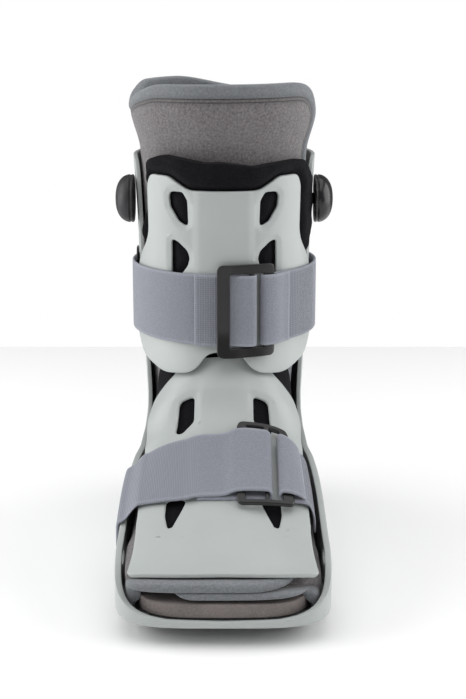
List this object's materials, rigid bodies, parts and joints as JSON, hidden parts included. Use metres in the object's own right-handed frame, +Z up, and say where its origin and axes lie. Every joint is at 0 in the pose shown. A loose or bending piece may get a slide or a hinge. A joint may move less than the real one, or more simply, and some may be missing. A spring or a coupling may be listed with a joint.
{
  "type": "walking boot",
  "caption": "Short pneumatic walking boot: rigid tray and calf shell, shin and foot panels over a padded liner, webbing straps with buckles, a pump bulb and a turning selector dial.",
  "frame": {"origin": "on the floor, in the middle of the boot's length and width", "axes": "+Z up, -Y towards the toe, +X towards the side with the selector dial"},
  "size_m": [0.1596, 0.3, 0.344],
  "materials": {
    "shell": "satin",
    "outsole": "matte",
    "insole": "matte foam",
    "liner": "brushed pile",
    "panel": "satin",
    "pad": "matte",
    "strap": "woven",
    "buckle": "satin",
    "bulb": "matte",
    "dial": "gloss"
  },
  "bodies": {
    "boot": {"base_shell": "shell", "outsole": "outsole", "insole": "insole", "liner": "liner", "shin_panel": "panel", "foot_panel": "panel", "shin_pad": "pad", "foot_pad": "pad", "shin_strap": "strap", "foot_strap": "strap", "foot_strap_end": "strap", "strap_anchor": "buckle", "shin_buckle": "buckle", "foot_buckle": "buckle", "pump_bulb": "bulb"},
    "dial": {"selector_dial": "dial"}
  },
  "joints": [
    {"name": "dial_turn", "type": "hinge", "parent": "boot", "child": "dial", "pos_m": [0.0655, 0.062, 0.257], "axis": [1, 0, 0], "range_deg": [-90, 90]}
  ]
}
